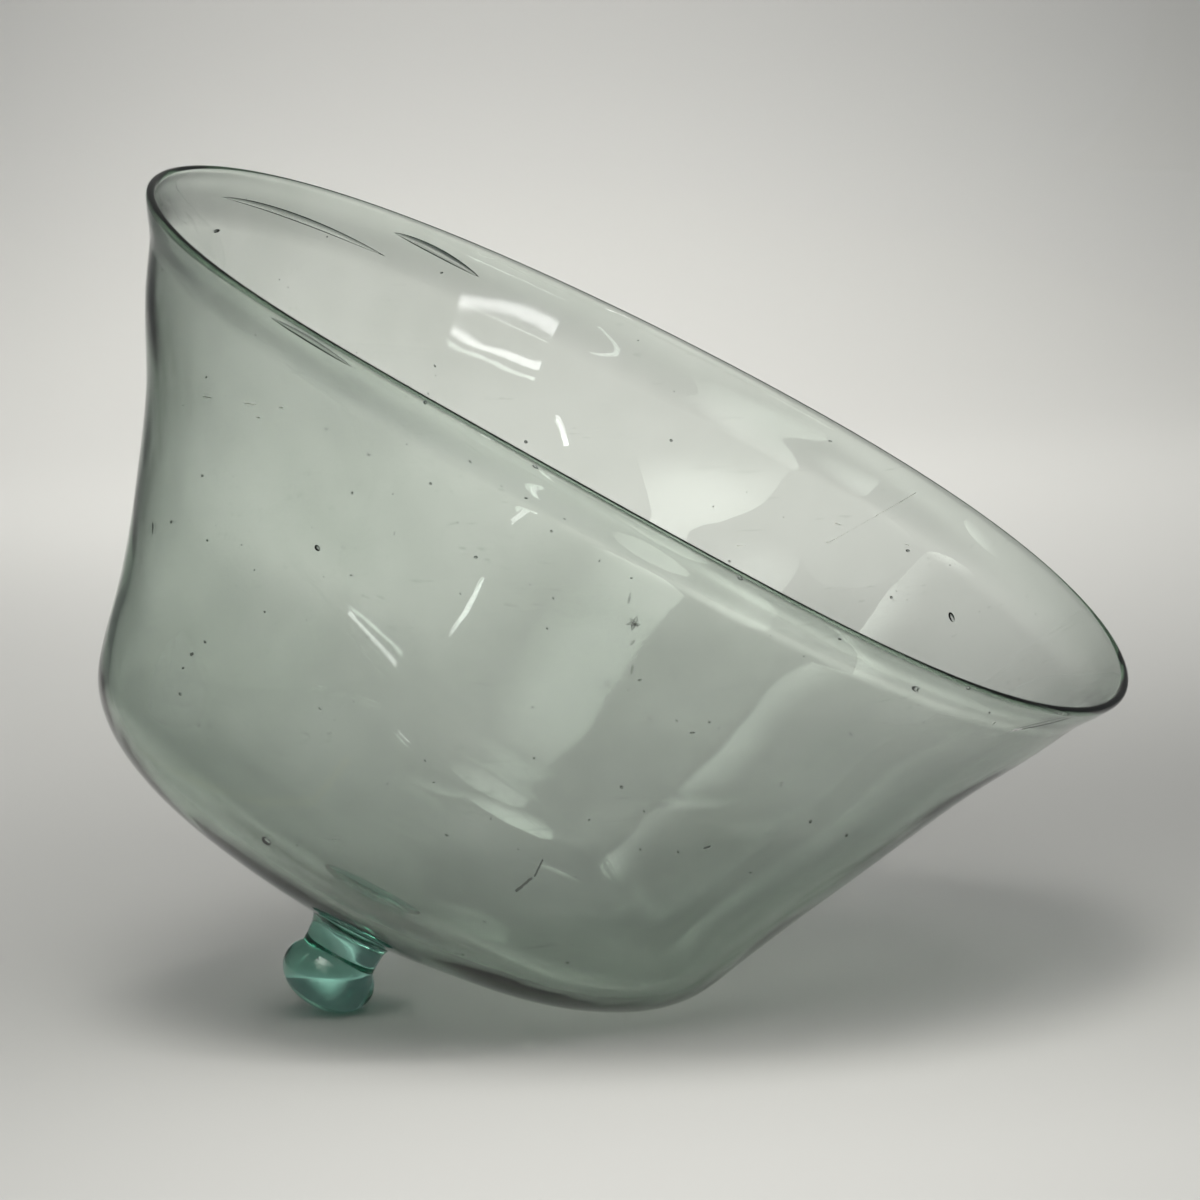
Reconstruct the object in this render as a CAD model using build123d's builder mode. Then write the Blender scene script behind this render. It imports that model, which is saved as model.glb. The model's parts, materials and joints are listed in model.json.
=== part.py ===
from build123d import *
from math import acos, atan2, cos, degrees, hypot, radians, sin
import os

# A blown glass bell cover, lying on its crown's shoulder and its knob with the mouth up.
# Millimetres, +Z up, the surface it rests on at z = 0. The bell leans towards +X.

# ---- driving dimensions ----
wall = 2.6  # thickness of the blown wall at the shoulder
crown_extra = 1.8  # the crown is this much thicker than that
rim_thinning = 1.0  # and the mouth this much thinner
unevenness = 0.19  # the inside sits this far towards +Y, so the wall is thicker on the other side
fold_width = 14.7  # how far the rim is turned over, measured down the bell
fold_thickness = 1.4
lip_rounding = 0.6  # roundings either side of the worn flat on the rim's crest
mouth_height = 2.2  # of the rim's crest, in the bell's own frame
pocket_length = 27.0  # air trapped between the fold and the wall
pocket_radius = 0.9
pocket_azimuth = 119.0  # degrees round the mouth from its low side
pocket_height = -6.0
pocket_slant = 9.0  # degrees that the pocket runs across the fold
lean = 30.2  # degrees between the bell's axis and the vertical
mouth_tilt = 3.0  # degrees that the mouth is out of square with the axis
tilt_reach = 70.0  # how far below the mouth that tilt fades out
ball_radius = 13.5  # the knob's squashed ball
ball_half_height = 9.7
neck_radius = 10.9
neck_height = 5.5  # from the crown to the narrowest place of the neck
foot_radius = 15.7

# Round sections of the wall's outside, from the crown to the mouth: height along the bell,
# radius, and how far the blown shape has drifted off the axis along the lean.
sections = [
    (-161.8, 8.0, -6.5),
    (-158.0, 27.0, -6.8),
    (-153.9, 47.0, -7.2),
    (-149.7, 64.0, -7.6),
    (-144.7, 78.2, -7.7),
    (-138.8, 87.8, -7.6),
    (-131.0, 94.7, -7.3),
    (-121.0, 98.9, -6.6),
    (-101.8, 105.2, -4.5),
    (-76.0, 115.4, -2.6),
    (-50.0, 126.2, -1.5),
    (-26.0, 138.0, -0.9),
    (mouth_height - fold_width, 143.0, -0.4),
    (mouth_height, 148.6, 0.0),
]
crown_height = sections[0][0]
crown_drift = sections[0][2]
shoulder_height = -121.0
tip = radians(lean)


def inset(index, depth):
    """A section moved square to the wall by depth, inwards when it is negative."""
    below = sections[max(index - 1, 0)]
    above = sections[min(index + 1, len(sections) - 1)]
    height, radius, drift = sections[index]
    slope = atan2(above[1] - below[1], above[0] - below[0])
    return height - depth * sin(slope), radius + depth * cos(slope), drift


def thickness(height):
    """The wall's thickness, which grows from the mouth to the middle of the crown."""
    if height > shoulder_height:
        return wall - rim_thinning * (height - shoulder_height) / (mouth_height - shoulder_height)
    return wall + crown_extra * (height - shoulder_height) / (crown_height - shoulder_height)


def level(frame, height, drift):
    """The plane of a section, tilted more the nearer it is to the mouth."""
    fade = max(0.0, 1 + height / tilt_reach) ** 2
    return Plane(frame.location * Location((drift, 0, height), (mouth_tilt * fade, 0, 0)))


def lofted(frame, rings):
    with BuildPart() as body:
        for height, radius, drift in rings:
            with BuildSketch(level(frame, height, drift)):
                Circle(radius)
        loft()
    return body.part


def leaning(x, y, z):
    """The bell's own frame: its origin near the middle of the mouth, +Z out along the axis."""
    return Plane(origin=(x, y, z), x_dir=(cos(tip), 0, -sin(tip)), z_dir=(sin(tip), 0, cos(tip)))


# Both outsides run on past the mouth, and are cut off level with it.
spare = 4.0
flare = (sections[-1][1] - sections[-2][1]) / fold_width
outside_rings = sections + [(mouth_height + spare, sections[-1][1] + spare * flare, 0.0)]
inside_rings = [inset(i, -thickness(ring[0])) for i, ring in enumerate(sections)]
fold_rings = [
    (height, radius + fold_thickness * hypot(1, flare), drift) for height, radius, drift in outside_rings[-3:]
]

# The shape is measured in a frame at the origin, then set down centred on it.
trial = leaning(0, 0, 0)
floor_level = lofted(trial, outside_rings).bounding_box().min.Z
extent = lofted(trial, sections[:-1] + fold_rings[1:2]).bounding_box()
bell = leaning(-extent.center().X, -extent.center().Y, -floor_level)
outside = lofted(bell, outside_rings)
mouth = level(bell, mouth_height, 0)

# ---- blown bell: crown, shoulder, body and flare in one wall ----
with BuildPart() as bell_wall:
    add(outside)
    split(bisect_by=mouth, keep=Keep.BOTTOM)
    add(lofted(Plane(bell.location * Location((0, unevenness, 0))), inside_rings), mode=Mode.SUBTRACT)
    crest = bell_wall.faces().filter_by(GeomType.PLANE).sort_by(Axis.Z)[-1]
    fillet(crest.inner_wires()[0].edges(), lip_rounding)

# ---- rim turned over outwards, lying on the wall ----
pocket_radius_out = sections[-1][1] + (pocket_height - mouth_height) * flare
pocket_seat = bell.location * Location((0, 0, pocket_height), (0, 0, pocket_azimuth))
pocket_seat *= Location((pocket_radius_out, 0, 0), (pocket_slant, 0, 0))
pocket_plane = Plane(pocket_seat * Plane.YX.location)
with BuildPart() as rim_fold:
    add(lofted(bell, fold_rings))
    split(bisect_by=mouth, keep=Keep.BOTTOM)
    fillet(rim_fold.faces().filter_by(GeomType.PLANE).edges(), lip_rounding)
    add(outside, mode=Mode.SUBTRACT)
    with BuildSketch(pocket_plane):
        with BuildLine():
            EllipticalCenterArc((0, 0), pocket_length / 2, pocket_radius, start_angle=0, arc_size=180)
            Line((-pocket_length / 2, 0), (pocket_length / 2, 0))
        make_face()
    revolve(axis=Axis(pocket_plane.origin, pocket_plane.x_dir), mode=Mode.SUBTRACT)

# ---- applied knob: flared foot, neck and squashed ball ----
# The ball's middle is at the height where the ball just touches the table.
ball_reach = hypot(ball_radius * sin(tip), ball_half_height * cos(tip))
ball_height = (ball_reach - bell.origin.Z + crown_drift * sin(tip)) / cos(tip)
foot_edge = crown_height + 2.0
neck_level = crown_height - neck_height
crease_angle = degrees(acos(neck_radius / ball_radius))
crease_height = ball_height + ball_half_height * sin(radians(crease_angle))
knob_plane = Plane(bell.location * Location((crown_drift, 0, 0)) * Plane.XZ.location)
with BuildPart() as knob:
    with BuildSketch(knob_plane):
        with BuildLine():
            EllipticalCenterArc(
                (0, ball_height), ball_radius, ball_half_height, start_angle=-90, arc_size=90 + crease_angle
            )
            Line((neck_radius, crease_height), (neck_radius, neck_level))
            EllipticalCenterArc(
                (foot_radius, neck_level),
                foot_radius - neck_radius,
                foot_edge - neck_level,
                start_angle=90,
                arc_size=90,
            )
            Polyline(
                (foot_radius, foot_edge),
                (foot_radius, foot_edge + spare),
                (0, foot_edge + spare),
                (0, ball_height - ball_half_height),
            )
        make_face()
    revolve(axis=Axis(knob_plane.origin, bell.z_dir))
    add(outside, mode=Mode.SUBTRACT)

bell_wall.part.label = "bell_wall"
rim_fold.part.label = "rim_fold"
knob.part.label = "knob"
os.makedirs("parts", exist_ok=True)
export_step(bell_wall.part, "parts/bell_wall.step")
export_step(rim_fold.part, "parts/rim_fold.step")
export_step(knob.part, "parts/knob.step")
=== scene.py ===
import bpy
import json
import numpy as np
from mathutils import Matrix, Vector


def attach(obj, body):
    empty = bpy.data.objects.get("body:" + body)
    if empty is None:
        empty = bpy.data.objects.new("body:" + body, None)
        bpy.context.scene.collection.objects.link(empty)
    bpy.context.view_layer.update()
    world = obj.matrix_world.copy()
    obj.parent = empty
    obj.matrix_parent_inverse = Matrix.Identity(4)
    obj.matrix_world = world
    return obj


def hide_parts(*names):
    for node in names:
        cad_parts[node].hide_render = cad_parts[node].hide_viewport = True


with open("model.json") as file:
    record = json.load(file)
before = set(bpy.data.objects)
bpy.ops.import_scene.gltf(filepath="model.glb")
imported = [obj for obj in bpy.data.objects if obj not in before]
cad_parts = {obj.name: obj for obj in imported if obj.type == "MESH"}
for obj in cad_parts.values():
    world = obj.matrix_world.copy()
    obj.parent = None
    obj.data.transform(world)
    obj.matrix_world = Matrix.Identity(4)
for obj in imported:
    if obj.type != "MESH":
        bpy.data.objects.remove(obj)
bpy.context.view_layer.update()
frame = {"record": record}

scene = bpy.context.scene
scene.view_settings.view_transform = "Standard"
scene.cycles.max_bounces = 32
scene.cycles.transmission_bounces = 32
scene.cycles.glossy_bounces = 12
scene.cycles.diffuse_bounces = 4
scene.cycles.sample_clamp_indirect = 12.0
mm = 0.001

# The rim's mount lies on the crest, straight down the lean from the middle of the mouth,
# and the grip's axis points out of the crown, so the two give the frame of the bell.
mounts = {m["name"]: m for m in frame["record"]["mounts"]}
bellUp = -np.array(mounts["knob_grip"]["axis"])
bellUp /= np.linalg.norm(bellUp)
bellAcross = np.array([0.0, 1.0, 0.0])
bellDown = np.cross(bellAcross, bellUp)

bell = dict(
    crestRadius=147.8,  # of the rim's worn crest, where its mount lies
    # height along the bell, radius and drift along the lean of the wall's outside
    sections=[
        (-162.4, 0.0, -6.5),
        (-161.6, 8.0, -6.5),
        (-158.0, 27.0, -6.8),
        (-153.9, 47.0, -7.2),
        (-149.7, 64.0, -7.6),
        (-144.7, 78.2, -7.7),
        (-138.8, 87.8, -7.6),
        (-131.0, 94.7, -7.3),
        (-121.0, 98.9, -6.6),
        (-101.8, 105.2, -4.5),
        (-76.0, 115.4, -2.6),
        (-50.0, 126.2, -1.5),
        (-26.0, 138.0, -0.9),
        (-12.5, 143.0, -0.4),
        (2.2, 148.6, 0.0),
    ],
    wall=2.6,
    crownExtra=1.8,
    rimThinning=1.0,
    shoulder=115.0,  # distance along the wall from the pole to where the crown's extra ends
    foldWidth=16.0,
    foldThickness=1.0,
    foldRounding=12.0,
    foldStray=(0.6, 0.35),  # how far its lower edge wanders, twice and five times round
    crest=1.6,
    mouthTilt=3.0,  # degrees out of square with the axis
    tiltReach=70.0,
    rimWaves=((2.3, -1.4), (1.5, -0.2)),  # cosine and sine, twice and three times round the mouth
    waveReach=18.0,
    oval=(0.019, 0.007),  # share of the radius, cosine and sine twice round the mouth
    ovalReach=30.0,
    outsideSwell=0.10,
    thicknessSwell=0.08,
    columns=300,
    seed=11,
)
crestOffset = bell["crestRadius"] * bellDown + bell["sections"][-1][0] * bellUp
mouthMiddle = np.array(mounts["rim_face"]["pos_m"]) - crestOffset * mm


def splineThrough(knots, values, at):
    # natural cubic: second derivatives from the tridiagonal system, then the cubic in each span
    gap = np.diff(knots)
    count = len(knots)
    system = np.eye(count)
    right = np.zeros(count)
    i = np.arange(1, count - 1)
    system[i, i - 1] = gap[:-1]
    system[i, i] = 2 * (gap[:-1] + gap[1:])
    system[i, i + 1] = gap[1:]
    right[i] = 6 * np.diff(np.diff(values) / gap)
    bend = np.linalg.solve(system, right)
    k = np.clip(np.searchsorted(knots, at) - 1, 0, count - 2)
    t = at - knots[k]
    slope = (values[k + 1] - values[k]) / gap[k] - gap[k] * (2 * bend[k] + bend[k + 1]) / 6
    return values[k] + t * slope + t**2 * bend[k] / 2 + t**3 * (bend[k + 1] - bend[k]) / (6 * gap[k])


# the profile runs on through the pole, mirrored, so that the crown is level there
section = np.array(bell["sections"])
chord = np.hypot(np.diff(section[:, 0]), np.diff(section[:, 1]))
station = np.concatenate([[0.0], np.cumsum(chord)])
mirrored = section[1:5][::-1] * np.array([1.0, -1.0, 1.0])
profile = np.vstack([mirrored, section])
profileStation = np.concatenate([-station[1:5][::-1], station])
mouthStation = station[-1]


def fade(height, reach):
    # falls off exponentially below the mouth
    return np.exp(np.minimum(height, 0.0) / reach)


def rimLift(azimuth):
    # how far the rim rises and dips: second and third harmonics round the mouth
    a = azimuth + np.pi / 2
    (cosTwo, sinTwo), (cosThree, sinThree) = bell["rimWaves"]
    twice = cosTwo * np.cos(2 * a) + sinTwo * np.sin(2 * a)
    return twice + cosThree * np.cos(3 * a) + sinThree * np.sin(3 * a)


def swell(azimuth, along, phase, size):
    # slow unevenness of blown glass: six slanting sine waves over the surface
    rng = np.random.default_rng(bell["seed"] + phase)
    total = 0.0
    for turns, length in ((2, 150), (3, 95), (5, 70), (1, 55), (4, 42), (7, 60)):
        shift = rng.uniform(0, 2 * np.pi, 2)
        slanting = turns * azimuth + shift[0] + 2 * np.pi * along / length + shift[1]
        total = total + np.cos(slanting) / (1 + turns / 4)
    return size * total * np.clip(along / 40, 0, 1)


def toWorld(x, y, z):
    # from the bell's frame in millimetres to the row's frame in metres
    local = np.stack(np.broadcast_arrays(x, y, z), axis=-1) * mm
    return mouthMiddle + local @ np.stack([bellDown, bellAcross, bellUp])


def onWall(azimuth, along, depth):
    # along runs from the pole to the mouth on the outside, depth is square to it and inwards:
    # radius and height come off the profile, then the mouth tilts, waves and goes slightly oval
    along = np.asarray(along, dtype=float)
    at = np.clip(along, -30, mouthStation + 5)
    height = splineThrough(profileStation, profile[:, 0], at)
    radius = splineThrough(profileStation, profile[:, 1], at)
    drift = splineThrough(profileStation, profile[:, 2], at)
    rise = splineThrough(profileStation, profile[:, 0], at + 0.05) - height
    run = splineThrough(profileStation, profile[:, 1], at + 0.05) - radius
    size = np.hypot(rise, run)
    radius = radius - depth * rise / size
    height = height + depth * run / size
    tilt = np.radians(bell["mouthTilt"]) * np.clip(1 + height / bell["tiltReach"], 0, None) ** 2
    a = azimuth + np.pi / 2
    cosOval, sinOval = bell["oval"]
    oval = cosOval * np.cos(2 * a) + sinOval * np.sin(2 * a)
    radius = radius * (1 - oval * fade(height, bell["ovalReach"]))
    lift = rimLift(azimuth) * fade(height, bell["waveReach"]) + radius * np.sin(azimuth) * np.sin(tilt)
    return toWorld(drift + radius * np.cos(azimuth), radius * np.sin(azimuth), height + lift)


def wallThickness(azimuth, along):
    # thickest in the middle of the crown and thinnest at the mouth, with its own slow unevenness
    shoulder = bell["shoulder"]
    crown = np.clip(1 - along / shoulder, 0, 1)
    rim = np.clip((along - shoulder) / (mouthStation - shoulder), 0, 1)
    even = bell["wall"] + bell["crownExtra"] * crown - bell["rimThinning"] * rim
    return even + swell(azimuth, along, 5, bell["thicknessSwell"])


def quadLattice(rows, columns):
    # quads between neighbouring rows, closed round each row
    i, j = np.meshgrid(np.arange(rows - 1), np.arange(columns), indexing="ij")
    k = (j + 1) % columns
    corners = [i * columns + j, i * columns + k, (i + 1) * columns + k, (i + 1) * columns + j]
    return np.stack(corners, -1).reshape(-1, 4)


def endFans(rows, columns):
    # triangles from the first and the last row to two poles, which follow the lattice's points
    ring = np.arange(columns)
    following = (ring + 1) % columns
    last = (rows - 1) * columns
    start = np.stack([np.full(columns, rows * columns), following, ring], -1)
    end = np.stack([np.full(columns, rows * columns + 1), last + ring, last + following], -1)
    return np.vstack([start, end])


def closedGrid(name, rings, poleStart, poleEnd, extra=()):
    # rings[i, j] is a closed lattice, i from one pole to the other and j round it; extra is a
    # list of (points, quads, tris) lattices added to the same mesh
    rows, columns = rings.shape[:2]
    quads = quadLattice(rows, columns)
    tris = endFans(rows, columns)
    points = np.vstack([rings.reshape(-1, 3), poleStart, poleEnd])
    for morePoints, moreQuads, moreTris in extra:
        quads = np.vstack([quads, moreQuads + len(points)])
        tris = np.vstack([tris, moreTris + len(points)])
        points = np.vstack([points, morePoints])
    return meshPiece(name, points, quads, tris)


def meshPiece(name, points, quads, tris):
    # points, four-sided and three-sided faces go into a smooth-shaded object in one go
    mesh = bpy.data.meshes.new(name)
    mesh.vertices.add(len(points))
    mesh.vertices.foreach_set("co", np.asarray(points, dtype=np.float32).ravel())
    corners = np.concatenate([np.asarray(quads).ravel(), np.asarray(tris).ravel()]).astype(np.int32)
    totals = np.concatenate([np.full(len(quads), 4), np.full(len(tris), 3)]).astype(np.int32)
    starts = np.concatenate([[0], np.cumsum(totals)[:-1]]).astype(np.int32)
    mesh.loops.add(len(corners))
    mesh.loops.foreach_set("vertex_index", corners)
    mesh.polygons.add(len(totals))
    mesh.polygons.foreach_set("loop_start", starts)
    mesh.polygons.foreach_set("loop_total", totals)
    mesh.polygons.foreach_set("use_smooth", np.ones(len(totals), dtype=bool))
    mesh.update(calc_edges=True)
    mesh.validate()
    piece = bpy.data.objects.new(name, mesh)
    scene.collection.objects.link(piece)
    return piece


bubbles = dict(
    # azimuth in degrees, distance from the mouth, depth, half the length, width and thickness,
    # and slant in degrees
    trapped=[
        (122.6, -6.2, -0.2, 16.0, 1.15, 0.45, 4.3),
        (144.0, -10.0, -0.1, 38.0, 1.0, 0.12, 2.5),
        (-126.0, -3.4, -0.2, 15.0, 1.0, 0.2, 0.0),
        (-26.0, -8.5, -0.1, 12.0, 2.0, 0.12, 37.0),
    ],
    seeds=[
        (-118.7, -61.9, 1.2, 0.95, 0.85, 0.6, 0.0),
        (-109.2, -148.9, 1.5, 1.5, 1.3, 0.8, 0.0),
        (159.3, -17.8, 0.8, 2.0, 0.5, 0.4, 8.0),
        (41.0, -24.8, 0.9, 2.1, 0.8, 0.5, -20.0),
        (-154.0, -89.6, 1.1, 1.6, 0.7, 0.5, 60.0),
        (-111.0, -1.7, 0.15, 0.5, 0.4, 0.4, 0.0),
        (-97.8, -2.4, 0.15, 0.9, 0.4, 0.4, 0.0),
        (-74.0, -1.9, 0.15, 0.8, 0.45, 0.4, 0.0),
        (-43.3, -1.7, 0.15, 0.7, 0.45, 0.4, 0.0),
        (102.2, -42.8, 1.2, 0.55, 0.5, 0.5, 0.0),
        (86.0, -24.0, 1.0, 0.5, 0.4, 0.4, 0.0),
    ],
    # a star bruise and its flashes: very thin cracks, in the same terms
    cracks=[
        (-80.5, -31.4, 0.9, 2.4, 0.5, 0.06, 80.0),
        (-80.6, -31.2, 0.8, 1.6, 0.4, 0.06, 20.0),
        (-80.3, -31.7, 0.9, 1.5, 0.4, 0.06, -35.0),
        (-80.9, -32.0, 0.8, 1.2, 0.3, 0.05, 125.0),
        (-82.5, -24.8, 0.8, 1.6, 0.3, 0.05, 75.0),
        (-79.4, -37.5, 0.8, 1.2, 0.3, 0.05, 95.0),
        (-77.6, -46.0, 0.8, 1.5, 0.3, 0.05, 70.0),
    ],
    rimRadius=145.0,  # turns a pocket's length into an azimuth
    scattered=230,
    scatteredSizes=[0.14, 0.2, 0.28, 0.42],
    scatteredShares=[0.4, 0.3, 0.2, 0.1],
    seed=4,
)


def ellipsoid(middle, axes, lengthwise=8, around=8):
    # latitude and longitude lattice wound so that its faces look inwards, into the air
    lat = np.linspace(0, np.pi, lengthwise + 1)[1:-1, None]
    lon = np.linspace(0, 2 * np.pi, around, endpoint=False)[None, :]
    across = np.sin(lat)
    unit = np.stack(np.broadcast_arrays(np.cos(lat), across * np.cos(lon), across * np.sin(lon)), -1)
    points = np.vstack([unit.reshape(-1, 3), [[1, 0, 0], [-1, 0, 0]]]) @ axes + middle
    return points, quadLattice(lengthwise - 1, around), endFans(lengthwise - 1, around)


def wallAxes(azimuth, along, depth, slant=0.0):
    # unit vectors on the wall: round, up and inwards, the first two turned by slant
    here = onWall(azimuth, along, depth)
    roundWay = onWall(azimuth + 1e-3, along, depth) - here
    roundWay /= np.linalg.norm(roundWay)
    inWay = onWall(azimuth, along, depth + 0.1) - here
    inWay /= np.linalg.norm(inWay)
    upWay = np.cross(inWay, roundWay)
    upWay /= np.linalg.norm(upWay)
    turn = np.radians(slant)
    first = np.cos(turn) * roundWay + np.sin(turn) * upWay
    second = np.cross(inWay, first)
    return here, np.stack([first, second, inWay])


def airPocket(azimuthDeg, fromMouth, depth, halfLength, halfWidth, halfThick, slant):
    # a lens that follows the wall, with pointed ends: half its width and thickness go with
    # 1 - t squared to the power 0.8, and it is bowed towards the mouth
    steps = 25
    around = 8
    t = np.linspace(-1, 1, steps)[1:-1, None]
    lon = np.linspace(0, 2 * np.pi, around, endpoint=False)[None, :]
    width = halfWidth * (1 - t**2) ** 0.8
    thick = halfThick * (1 - t**2) ** 0.8
    azimuth = np.radians(azimuthDeg)
    radius = bubbles["rimRadius"]
    turn = np.radians(slant)
    bow = 0.5 * halfWidth * (1 - t**2)
    alongSide = t * halfLength * np.sin(turn) + (width * np.cos(lon) + bow) * np.cos(turn)
    roundSide = t * halfLength * np.cos(turn) - width * np.cos(lon) * np.sin(turn)
    along = mouthStation + fromMouth
    body = onWall(azimuth + roundSide / radius, along + alongSide, depth + thick * np.sin(lon))
    way = np.array([-1, 1])
    tipAzimuth = azimuth + way * halfLength * np.cos(turn) / radius
    ends = onWall(tipAzimuth, along + way * halfLength * np.sin(turn), depth)
    points = np.vstack([body.reshape(-1, 3), ends])
    return facingIn(points, quadLattice(steps - 2, around), endFans(steps - 2, around))


def facingIn(points, quads, tris):
    # the signed volume tells which way the faces look; a bubble's look inwards
    a = points[quads[:, 0]] - points.mean(0)
    b = points[quads[:, 1]] - points.mean(0)
    c = points[quads[:, 2]] - points.mean(0)
    if np.einsum("ij,ij->i", a, np.cross(b, c)).sum() > 0:
        return points, quads[:, ::-1], tris[:, ::-1]
    return points, quads, tris


def scatterBubbles():
    # pockets, seeds and cracks at their own places, then small seeds spread evenly over the wall
    rng = np.random.default_rng(bubbles["seed"])
    made = [airPocket(*row) for row in bubbles["trapped"]]
    for azimuthDeg, fromMouth, depth, *halves, slant in bubbles["seeds"] + bubbles["cracks"]:
        here, axes = wallAxes(np.radians(azimuthDeg), mouthStation + fromMouth, depth, slant)
        sizes = np.array(halves)[:, None] * mm
        made.append(facingIn(*ellipsoid(here, axes * sizes)))
    for _ in range(bubbles["scattered"]):
        azimuth = rng.uniform(0, 2 * np.pi)
        along = mouthStation * np.sqrt(rng.uniform(0.03, 0.97))
        size = rng.choice(bubbles["scatteredSizes"], p=bubbles["scatteredShares"])
        here, axes = wallAxes(azimuth, along, rng.uniform(0.7, 1.8), rng.normal(0, 25))
        sizes = np.array([size * rng.uniform(1.0, 2.2), size, size * 0.8])[:, None] * mm
        made.append(facingIn(*ellipsoid(here, axes * sizes, 6, 6)))
    return made


def buildBell():
    # one closed surface: up the outside from the pole, over the fold's lower edge and the rim's
    # crest, and down the inside to the pole; each row is a distance along the wall and a depth
    azimuth = np.linspace(0, 2 * np.pi, bell["columns"], endpoint=False)[None, :]
    stray = bell["foldStray"]
    wander = stray[0] * np.cos(2 * azimuth + 0.6) + stray[1] * np.sin(5 * azimuth)
    foldEdge = mouthStation - bell["foldWidth"] - wander
    foldTop = foldEdge + bell["foldRounding"]
    thick = bell["foldThickness"]
    crest = bell["crest"]
    nearPole = 0.012  # the first and last ring, as a share of the way from the pole

    # up the outside to the fold
    along = np.linspace(nearPole, 1, 118)[:, None] * (foldEdge - 0.3)
    rows = [(along, 0.0)]
    # over the fold's lower edge by the smooth step 3 t squared - 2 t cubed
    step = np.linspace(0, 1, 13)[:, None]
    rows.append((foldEdge + bell["foldRounding"] * step, -thick * (3 * step**2 - 2 * step**3)))
    # up the fold
    rows.append((np.linspace(0.12, 1, 9)[:, None] * (mouthStation - crest - foldTop) + foldTop, -thick))
    # round the crest, a half turn of a slightly squared circle
    turn = np.linspace(0.12, 0.88, 15)[:, None] * np.pi
    half = (thick + bell["wall"] - bell["rimThinning"]) / 2
    bulge = np.abs(np.sin(turn)) ** 0.8
    across = np.sign(np.cos(turn)) * np.abs(np.cos(turn)) ** 0.8
    rows.append((mouthStation - crest * (1 - bulge), -thick + half - half * across))
    # and down the inside
    along = np.linspace(1, nearPole, 120)[:, None] * (mouthStation - crest)
    rows.append((along, wallThickness(azimuth, along)))

    shape = [(len(along), bell["columns"]) for along, depth in rows]
    alongAll = np.vstack([np.broadcast_to(along, size) for (along, depth), size in zip(rows, shape)])
    depthAll = np.vstack([np.broadcast_to(depth, size) for (along, depth), size in zip(rows, shape)])
    depthAll = depthAll - swell(azimuth, alongAll, 1, bell["outsideSwell"])
    rings = onWall(azimuth, alongAll, depthAll)
    poleOut = onWall(0.0, 0.0, 0.0)
    poleIn = onWall(0.0, 0.0, bell["wall"] + bell["crownExtra"])
    return closedGrid("blownBell", rings, poleOut, poleIn, scatterBubbles())


bellPiece = buildBell()
print("bell blown")

knob = dict(
    drift=-6.5,
    footRadius=15.7,
    footEdge=-159.6,  # heights are along the bell, like its sections
    footDip=0.7,
    neckRadius=10.9,
    neckHeight=-167.6,
    neckWaist=0.12,
    crease=1.015,  # the ball starts where it is this much wider than the neck
    ballRadius=13.5,
    ballHalf=9.7,
    ballHeight=-177.35,
    embed=0.45,  # how far the foot is sunk in the crown
    columns=96,
)


def buildKnob():
    # a turned profile: a top sunk in the crown, the foot's concave quarter circle, the neck and the
    # squashed ball; radius times a slight second and third harmonic round it
    topR = knob["footRadius"] * np.linspace(0, 1, 14)[1:-1]
    topH = np.full(len(topR), knob["footEdge"])
    arc = np.linspace(0, np.pi / 2, 18)
    flareR = knob["neckRadius"] + (knob["footRadius"] - knob["neckRadius"]) * (1 - np.sin(arc))
    footLow = knob["footEdge"] - knob["footDip"]
    flareH = footLow - (footLow - knob["neckHeight"]) * (1 - np.cos(arc))
    creaseAngle = np.arccos(knob["neckRadius"] * knob["crease"] / knob["ballRadius"])
    down = np.linspace(creaseAngle, -np.pi / 2, 34)[:-1]
    ballR = knob["ballRadius"] * np.cos(down)
    ballH = knob["ballHeight"] + knob["ballHalf"] * np.sin(down)
    neckH = np.linspace(knob["neckHeight"], ballH[0] + 0.25, 5)[1:]
    neckR = knob["neckRadius"] - knob["neckWaist"] * np.sin(np.linspace(0, np.pi, 5))[1:]
    radius = np.concatenate([topR, flareR, neckR, ballR])[:, None]
    height = np.concatenate([topH, flareH, neckH, ballH])[:, None]
    azimuth = np.linspace(0, 2 * np.pi, knob["columns"], endpoint=False)[None, :]
    twice, thrice = np.cos(2 * azimuth + 0.4), np.cos(3 * azimuth + height / 4)
    uneven = 1 + 0.008 * twice + 0.005 * thrice
    # the top follows the crown's outside
    crownHeight = np.interp(radius, section[:6, 1], section[:6, 0])
    height = np.where(height > knob["footEdge"] - 0.01, crownHeight + knob["embed"], height)
    x = knob["drift"] + radius * uneven * np.cos(azimuth)
    rings = toWorld(x, radius * uneven * np.sin(azimuth), height)
    top = toWorld(knob["drift"], 0.0, section[0, 0] + knob["embed"])
    bottom = toWorld(knob["drift"], 0.0, knob["ballHeight"] - knob["ballHalf"])
    return closedGrid("knobGather", rings[:, ::-1], top, bottom)


knobPiece = buildKnob()
print("knob applied")


def newMaterial(name):
    material = bpy.data.materials.new(name)
    material.use_nodes = True
    nodes = material.node_tree.nodes
    nodes.clear()
    return material, nodes, material.node_tree.links


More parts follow.
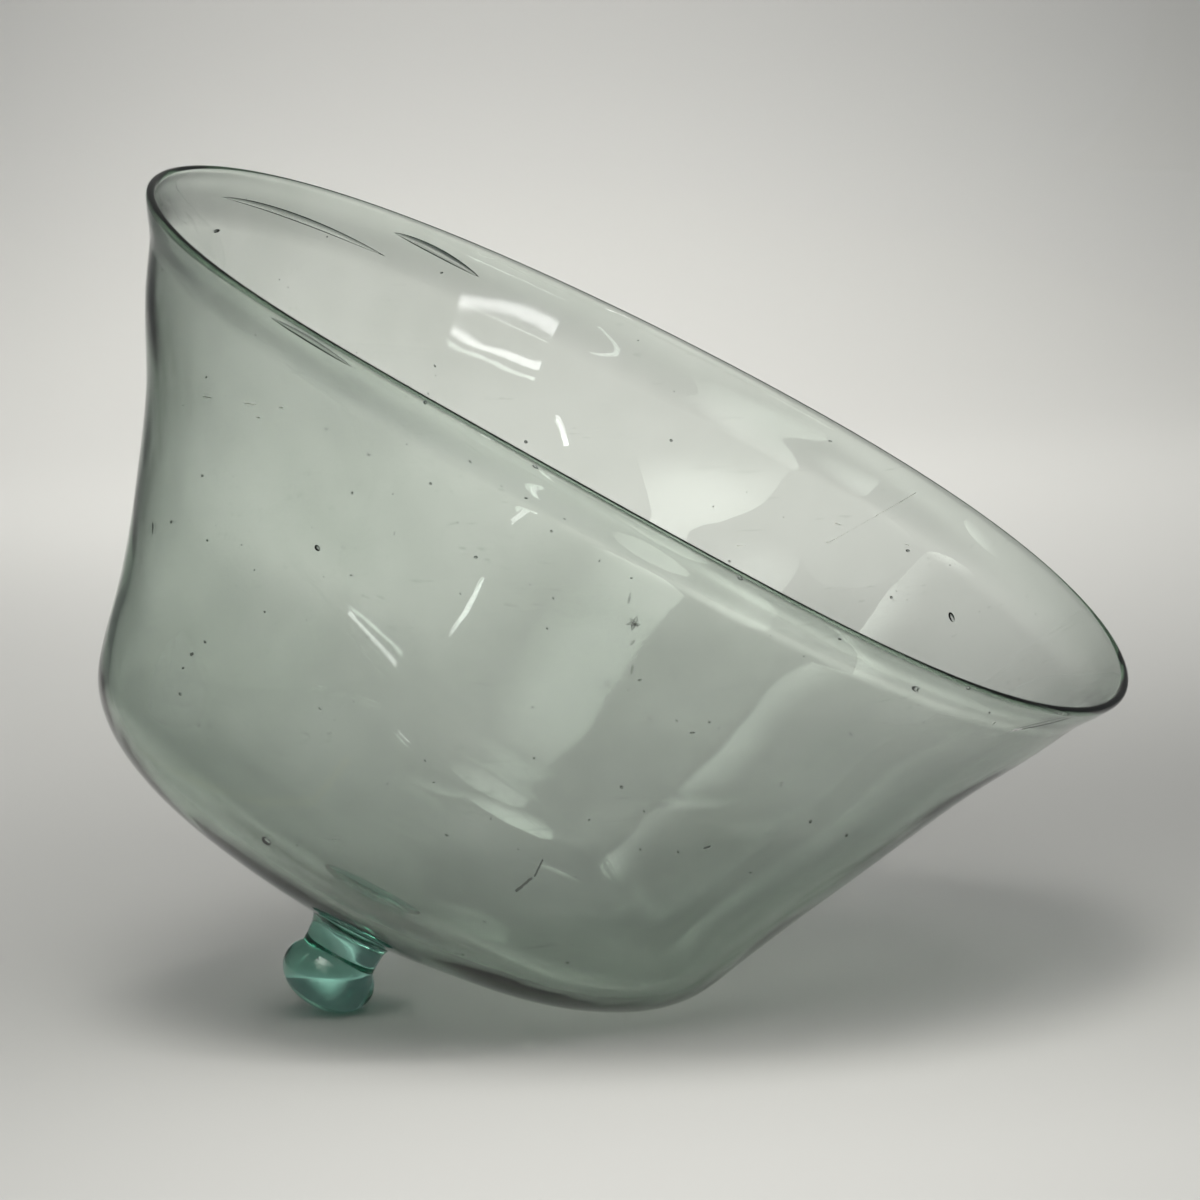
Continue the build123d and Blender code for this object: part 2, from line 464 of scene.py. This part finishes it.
def wavySurfaceGroup():
    # slow waves, cords drawn out along the lean and a faint skin of ripples, as one height, and a
    # mask of dust and hairlines
    group = bpy.data.node_groups.new("wavySurface", "ShaderNodeTree")
    for name, value in (("Waves", 1.0), ("Cords", 1.0), ("Ripple", 1.0)):
        socket = group.interface.new_socket(name=name, in_out="INPUT", socket_type="NodeSocketFloat")
        socket.default_value = value
    group.interface.new_socket(name="Height", in_out="OUTPUT", socket_type="NodeSocketFloat")
    group.interface.new_socket(name="Smudge", in_out="OUTPUT", socket_type="NodeSocketFloat")
    nodes, links = group.nodes, group.links
    inputs = nodes.new("NodeGroupInput")
    outputs = nodes.new("NodeGroupOutput")
    place = nodes.new("ShaderNodeTexCoord")
    total = None
    for label, scale, stretch, detail in (
        ("Waves", 22.0, (1.0, 1.0, 1.0), 1.0),
        ("Cords", 30.0, (0.25, 1.0, 1.0), 2.0),
        ("Ripple", 260.0, (1.0, 1.0, 1.0), 1.0),
    ):
        mapping = nodes.new("ShaderNodeMapping")
        mapping.inputs["Scale"].default_value = stretch
        mapping.inputs["Rotation"].default_value = (0.0, np.radians(-30.2), 0.3)
        links.new(place.outputs["Object"], mapping.inputs["Vector"])
        noise = nodes.new("ShaderNodeTexNoise")
        noise.inputs["Scale"].default_value = scale
        noise.inputs["Detail"].default_value = detail
        links.new(mapping.outputs["Vector"], noise.inputs["Vector"])
        weigh = nodes.new("ShaderNodeMath")
        weigh.operation = "MULTIPLY"
        links.new(noise.outputs["Fac"], weigh.inputs[0])
        links.new(inputs.outputs[label], weigh.inputs[1])
        if total is None:
            total = weigh
        else:
            join = nodes.new("ShaderNodeMath")
            join.operation = "ADD"
            links.new(total.outputs[0], join.inputs[0])
            links.new(weigh.outputs[0], join.inputs[1])
            total = join
    links.new(total.outputs[0], outputs.inputs["Height"])
    smudge = nodes.new("ShaderNodeTexNoise")
    smudge.inputs["Scale"].default_value = 14.0
    smudge.inputs["Detail"].default_value = 6.0
    links.new(place.outputs["Object"], smudge.inputs["Vector"])
    ramp = nodes.new("ShaderNodeMapRange")
    ramp.inputs["From Min"].default_value = 0.44
    ramp.inputs["From Max"].default_value = 0.74
    # more dust towards the highest part of the rim
    parts = nodes.new("ShaderNodeSeparateXYZ")
    links.new(place.outputs["Object"], parts.inputs[0])
    upper = nodes.new("ShaderNodeMapRange")
    upper.inputs["From Min"].default_value = 0.14
    upper.inputs["From Max"].default_value = 0.24
    upper.inputs["To Max"].default_value = 0.16
    links.new(parts.outputs["Z"], upper.inputs["Value"])
    dusty = nodes.new("ShaderNodeMath")
    dusty.operation = "ADD"
    links.new(smudge.outputs["Fac"], dusty.inputs[0])
    links.new(upper.outputs["Result"], dusty.inputs[1])
    links.new(dusty.outputs[0], ramp.inputs["Value"])
    skin = ramp.outputs["Result"]
    # hairlines: noise drawn out along one direction, kept only at its peaks, in two directions
    for turn, lengthways in ((0.5, 14.0), (-0.9, 22.0)):
        mapping = nodes.new("ShaderNodeMapping")
        mapping.inputs["Rotation"].default_value = (0.2, turn, 0.4)
        mapping.inputs["Scale"].default_value = (lengthways, 420.0, 420.0)
        links.new(place.outputs["Object"], mapping.inputs["Vector"])
        hair = nodes.new("ShaderNodeTexNoise")
        hair.inputs["Scale"].default_value = 1.0
        hair.inputs["Detail"].default_value = 2.0
        links.new(mapping.outputs["Vector"], hair.inputs["Vector"])
        peak = nodes.new("ShaderNodeMapRange")
        peak.inputs["From Min"].default_value = 0.70
        peak.inputs["From Max"].default_value = 0.76
        links.new(hair.outputs["Fac"], peak.inputs["Value"])
        either = nodes.new("ShaderNodeMath")
        either.operation = "MAXIMUM"
        links.new(skin, either.inputs[0])
        links.new(peak.outputs["Result"], either.inputs[1])
        skin = either.outputs[0]
    links.new(skin, outputs.inputs["Smudge"])
    return group


wavySurface = wavySurfaceGroup()

# marks on the glass: start and end, each an azimuth in degrees and a distance from the mouth,
# the side of the wall, and half the width
marks = dict(
    dirt=[
        ((-135.0, -112.5), (-134.6, -111.9), "outer", 0.75),
        ((-71.0, -112.5), (-70.2, -118.0), "outer", 0.45),
        ((-70.4, -119.0), (-70.8, -124.3), "outer", 0.7),
        ((-52.5, -89.3), (-52.1, -88.3), "outer", 0.7),
        ((-66.8, -56.7), (-66.5, -56.2), "outer", 0.5),
        ((-97.8, -134.7), (-99.6, -136.6), "outer", 0.3),
        ((-80.5, -31.4), (-80.4, -31.2), "outer", 0.5),
        ((-83.6, -18.6), (-83.5, -18.4), "outer", 0.35),
    ],
    scratches=[
        ((71.5, -40.7), (61.8, -26.5), "inner", 0.28),
        ((61.8, -26.5), (56.7, -5.0), "inner", 0.28),
        ((62.8, -21.7), (53.0, -16.4), "inner", 0.35),
        ((-148.2, -45.2), (-127.7, -27.5), "outer", 0.3),
        ((-148.0, -49.0), (-131.0, -35.0), "outer", 0.25),
        ((-35.0, -5.0), (-34.0, -14.0), "outer", 0.3),
    ],
    wisps=[
        ((-141.8, -148.0), (-126.0, -144.0), "outer", 1.6),
        ((-126.0, -144.0), (-111.8, -137.1), "outer", 1.9),
        ((-111.8, -137.1), (-104.5, -129.1), "outer", 2.2),
        ((-104.5, -129.1), (-103.0, -112.8), "outer", 1.6),
    ],
)


def strokeGroup():
    # a short stroke: distance from the line between two points, soft at the edge and worn by noise
    group = bpy.data.node_groups.new("stroke", "ShaderNodeTree")
    group.interface.new_socket(name="From", in_out="INPUT", socket_type="NodeSocketVector")
    group.interface.new_socket(name="To", in_out="INPUT", socket_type="NodeSocketVector")
    group.interface.new_socket(name="Half Width", in_out="INPUT", socket_type="NodeSocketFloat")
    group.interface.new_socket(name="Mask", in_out="OUTPUT", socket_type="NodeSocketFloat")
    nodes, links = group.nodes, group.links
    inputs = nodes.new("NodeGroupInput")
    outputs = nodes.new("NodeGroupOutput")
    place = nodes.new("ShaderNodeTexCoord")

    def vector(operation, first, second, output="Vector"):
        node = nodes.new("ShaderNodeVectorMath")
        node.operation = operation
        links.new(first, node.inputs[0])
        if second is not None:
            links.new(second, node.inputs[1])
        return node.outputs[output]

    offset = vector("SUBTRACT", place.outputs["Object"], inputs.outputs["From"])
    span = vector("SUBTRACT", inputs.outputs["To"], inputs.outputs["From"])
    share = nodes.new("ShaderNodeMath")
    share.operation = "DIVIDE"
    share.use_clamp = True
    links.new(vector("DOT_PRODUCT", offset, span, "Value"), share.inputs[0])
    links.new(vector("DOT_PRODUCT", span, span, "Value"), share.inputs[1])
    reach = nodes.new("ShaderNodeVectorMath")
    reach.operation = "SCALE"
    links.new(span, reach.inputs[0])
    links.new(share.outputs[0], reach.inputs["Scale"])
    gap = vector("LENGTH", vector("SUBTRACT", offset, reach.outputs[0]), None, "Value")
    part = nodes.new("ShaderNodeMath")
    part.operation = "DIVIDE"
    links.new(gap, part.inputs[0])
    links.new(inputs.outputs["Half Width"], part.inputs[1])
    worn = nodes.new("ShaderNodeTexNoise")
    worn.inputs["Scale"].default_value = 900.0
    worn.inputs["Detail"].default_value = 3.0
    links.new(place.outputs["Object"], worn.inputs["Vector"])
    ragged = nodes.new("ShaderNodeMath")
    ragged.operation = "ADD"
    links.new(part.outputs[0], ragged.inputs[0])
    links.new(worn.outputs["Fac"], ragged.inputs[1])
    edge = nodes.new("ShaderNodeMapRange")
    edge.interpolation_type = "SMOOTHSTEP"
    edge.inputs["From Min"].default_value = 1.5
    edge.inputs["From Max"].default_value = 0.7
    links.new(ragged.outputs[0], edge.inputs["Value"])
    links.new(edge.outputs["Result"], outputs.inputs["Mask"])
    return group


stroke = strokeGroup()


def strokesMask(nodes, links, rows):
    # the strongest of all the strokes in a list
    strongest = None
    for start, end, side, halfWidth in rows:
        node = nodes.new("ShaderNodeGroup")
        node.node_tree = stroke
        for socket, (azimuthDeg, fromMouth) in (("From", start), ("To", end)):
            azimuth, along = np.radians(azimuthDeg), mouthStation + fromMouth
            depth = wallThickness(azimuth, along) if side == "inner" else 0.0
            node.inputs[socket].default_value = onWall(azimuth, along, depth).tolist()
        node.inputs["Half Width"].default_value = halfWidth * mm
        if strongest is None:
            strongest = node.outputs["Mask"]
        else:
            either = nodes.new("ShaderNodeMath")
            either.operation = "MAXIMUM"
            links.new(strongest, either.inputs[0])
            links.new(node.outputs["Mask"], either.inputs[1])
            strongest = either.outputs[0]
    return strongest


def glassMaterial(name, finish):
    # clear glass that swallows light on the way through, under a thin grey skin with its marks
    material, nodes, links = newMaterial(name)
    output = nodes.new("ShaderNodeOutputMaterial")
    glass = nodes.new("ShaderNodeBsdfPrincipled")
    glass.inputs["Transmission Weight"].default_value = 1.0
    glass.inputs["IOR"].default_value = 1.5
    surface = nodes.new("ShaderNodeGroup")
    surface.node_tree = wavySurface
    for socket, value in zip(("Waves", "Cords", "Ripple"), finish["waves"]):
        surface.inputs[socket].default_value = value
    tilt = nodes.new("ShaderNodeBump")
    tilt.inputs["Strength"].default_value = 1.0
    tilt.inputs["Distance"].default_value = finish["bump"]
    links.new(surface.outputs["Height"], tilt.inputs["Height"])
    links.new(tilt.outputs["Normal"], glass.inputs["Normal"])
    rough = nodes.new("ShaderNodeMath")
    rough.operation = "MULTIPLY"
    rough.inputs[1].default_value = finish["smudgeRoughness"]
    links.new(surface.outputs["Smudge"], rough.inputs[0])
    roughness = rough.outputs[0]
    # the skin: a grey film that is mottled where dust has dried on it
    dust = nodes.new("ShaderNodeMix")
    dust.data_type = "RGBA"
    dust.inputs["A"].default_value = (*finish["base"], 1)
    dust.inputs["B"].default_value = (*finish["film"], 1)
    links.new(surface.outputs["Smudge"], dust.inputs["Factor"])
    colour = dust.outputs["Result"]
    if finish["marks"]:
        # each kind of mark with how much it roughens and how much light it lets by
        for label, worn, shade in (("scratches", 0.45, 0.7), ("wisps", 0.12, 1.03), ("dirt", 0.5, 0.08)):
            mask = strokesMask(nodes, links, finish["marks"][label])
            stain = nodes.new("ShaderNodeMix")
            stain.data_type = "RGBA"
            stain.blend_type = "MULTIPLY"
            stain.inputs["B"].default_value = (shade, shade * 0.98, shade * 0.92, 1)
            links.new(colour, stain.inputs["A"])
            links.new(mask, stain.inputs["Factor"])
            colour = stain.outputs["Result"]
            frost = nodes.new("ShaderNodeMath")
            frost.operation = "MULTIPLY_ADD"
            frost.inputs[1].default_value = worn
            links.new(mask, frost.inputs[0])
            links.new(roughness, frost.inputs[2])
            roughness = frost.outputs[0]
    links.new(colour, glass.inputs["Base Color"])
    links.new(roughness, glass.inputs["Roughness"])
    inside = nodes.new("ShaderNodeVolumeAbsorption")
    inside.inputs["Color"].default_value = (*finish["tint"], 1)
    inside.inputs["Density"].default_value = finish["density"]
    links.new(glass.outputs["BSDF"], output.inputs["Surface"])
    links.new(inside.outputs["Volume"], output.inputs["Volume"])
    return material


paleGlass = glassMaterial(
    "paleGlass",
    dict(
        tint=(0.46, 0.64, 0.50),
        density=100.0,
        waves=(0.6, 0.4, 0.008),
        bump=0.0004,
        smudgeRoughness=0.07,
        base=(0.945, 0.955, 0.946),
        film=(0.80, 0.82, 0.80),
        marks=marks,
    ),
)
greenGlass = glassMaterial(
    "greenGlass",
    dict(
        tint=(0.02, 0.58, 0.45),
        density=38.0,
        waves=(0.4, 0.2, 0.02),
        bump=0.0004,
        smudgeRoughness=0.03,
        base=(0.80, 1.0, 0.96),
        film=(0.76, 0.94, 0.90),
        marks=None,
    ),
)
bellPiece.data.materials.append(paleGlass)
knobPiece.data.materials.append(greenGlass)

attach(bellPiece, "root")
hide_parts("bell_wall", "rim_fold")
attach(knobPiece, "root")
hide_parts("knob")
print("glass coloured")

stage = dict(bendStart=1.5, bendRadius=1.0, height=3.2, front=-5.0, halfWidth=6.0, grey=(0.62, 0.62, 0.60))


def buildSweep():
    # a level floor that turns up into a wall through a quarter circle
    turn = np.linspace(0, np.pi / 2, 40)
    bend = stage["bendRadius"]
    wallPlace = stage["bendStart"] + bend
    y = np.concatenate([[stage["front"], 0.0], stage["bendStart"] + bend * np.sin(turn), [wallPlace]])
    z = np.concatenate([[0.0, 0.0], bend * (1 - np.cos(turn)), [stage["height"]]])
    left = np.stack([np.full(len(y), -stage["halfWidth"]), y, z], -1)
    right = left * np.array([-1, 1, 1])
    n = len(y)
    i = np.arange(n - 1)
    quads = np.stack([i, i + n, i + n + 1, i + 1], -1)
    return meshPiece("sweep", np.vstack([left, right]), quads, np.zeros((0, 3), dtype=int))


sweep = buildSweep()
paper, nodes, links = newMaterial("palePaper")
paperOut = nodes.new("ShaderNodeOutputMaterial")
paperSkin = nodes.new("ShaderNodeBsdfPrincipled")
paperSkin.inputs["Base Color"].default_value = (*stage["grey"], 1)
paperSkin.inputs["Roughness"].default_value = 0.9
paperSkin.inputs["Specular IOR Level"].default_value = 0.2
links.new(paperSkin.outputs["BSDF"], paperOut.inputs["Surface"])
sweep.data.materials.append(paper)

world = bpy.data.worlds.new("room")
scene.world = world
world.use_nodes = True
world.node_tree.nodes["Background"].inputs["Color"].default_value = (0.93, 0.97, 1.0, 1)
world.node_tree.nodes["Background"].inputs["Strength"].default_value = 0.18

# pools of soft light on the paper: place, aim, power, spread in degrees
pools = [
    ((0.0, -0.5, 1.0), (0.0, -0.2, 0.0), 33.0, 50.0),
    ((-0.35, 1.2, 1.8), (-0.21, 1.5, 0.0), 117.0, 45.0),
    ((-0.35, 1.8, 1.8), (-0.21, 2.1, 0.4), 63.0, 45.0),
    ((-0.7, 0.1, 1.0), (-0.42, 0.4, 0.0), 28.0, 50.0),
    ((0.7, 0.1, 1.0), (0.42, 0.4, 0.0), 9.0, 50.0),
    ((0.0, 0.6, 1.0), (0.0, 0.9, 0.0), 12.0, 50.0),
    ((0.0, 0.6, 1.8), (0.0, 0.9, 0.0), 71.0, 45.0),
    ((0.0, -0.9, 0.8), (0.0, -0.2, 0.0), 20.0, 50.0),
    ((-0.6, -0.5, 1.0), (-0.35, -0.3, 0.0), 4.0, 50.0),
    ((0.6, -0.5, 1.0), (0.35, -0.3, 0.0), 15.0, 50.0),
    ((0.1, 1.2, 1.8), (0.1, 1.5, 0.0), 12.0, 45.0),
]
# narrow windows that light nothing and show as highlights on the glass: place, width, height,
# turn in degrees, power
windows = [
    ((0.78, -0.70, 0.16), 0.42, 0.02, -23.0, 0.26),
    ((0.73, -1.03, 0.70), 0.03, 0.2, 0.0, 0.14),
]


def facing(place, aim):
    # turns a lamp or camera, which looks down its own -Z, from its place to its aim
    return (Vector(aim) - Vector(place)).to_track_quat("-Z", "Y").to_matrix().to_4x4()


def poolLight(name, place, aim, power, spread):
    light = bpy.data.lights.new(name, "SPOT")
    light.energy = power
    light.spot_size = np.radians(spread)
    light.spot_blend = 1.0
    light.shadow_soft_size = 0.3
    light.color = (1.0, 0.985, 0.95)
    lamp = bpy.data.objects.new(name, light)
    lamp.matrix_world = Matrix.Translation(place) @ facing(place, aim)
    lamp.visible_glossy = False
    scene.collection.objects.link(lamp)


def windowLight(name, place, width, height, turn, power):
    light = bpy.data.lights.new(name, "AREA")
    light.shape = "RECTANGLE"
    light.size = width
    light.size_y = height
    light.energy = power
    lamp = bpy.data.objects.new(name, light)
    turned = Matrix.Rotation(np.radians(turn), 4, "Z")
    lamp.matrix_world = Matrix.Translation(place) @ facing(place, (0.0, 0.0, 0.15)) @ turned
    lamp.visible_diffuse = False
    lamp.visible_camera = False
    scene.collection.objects.link(lamp)


for number, pool in enumerate(pools):
    poolLight("pool" + str(number), *pool)
for number, window in enumerate(windows):
    windowLight("window" + str(number), *window)

view = dict(place=(0.13106, -1.92186, 0.36605), aim=(-0.00235, 0.0, 0.11371), roll=2.563, lens=210.12)
camera = bpy.data.cameras.new("camera")
camera.lens = view["lens"]
camera.sensor_width = 36.0
camera.clip_start = 0.05
cameraRig = bpy.data.objects.new("camera", camera)
rolled = Matrix.Rotation(np.radians(-view["roll"]), 4, "Z")
cameraRig.matrix_world = Matrix.Translation(view["place"]) @ facing(view["place"], view["aim"]) @ rolled
scene.collection.objects.link(cameraRig)
scene.camera = cameraRig
print("lit and framed")
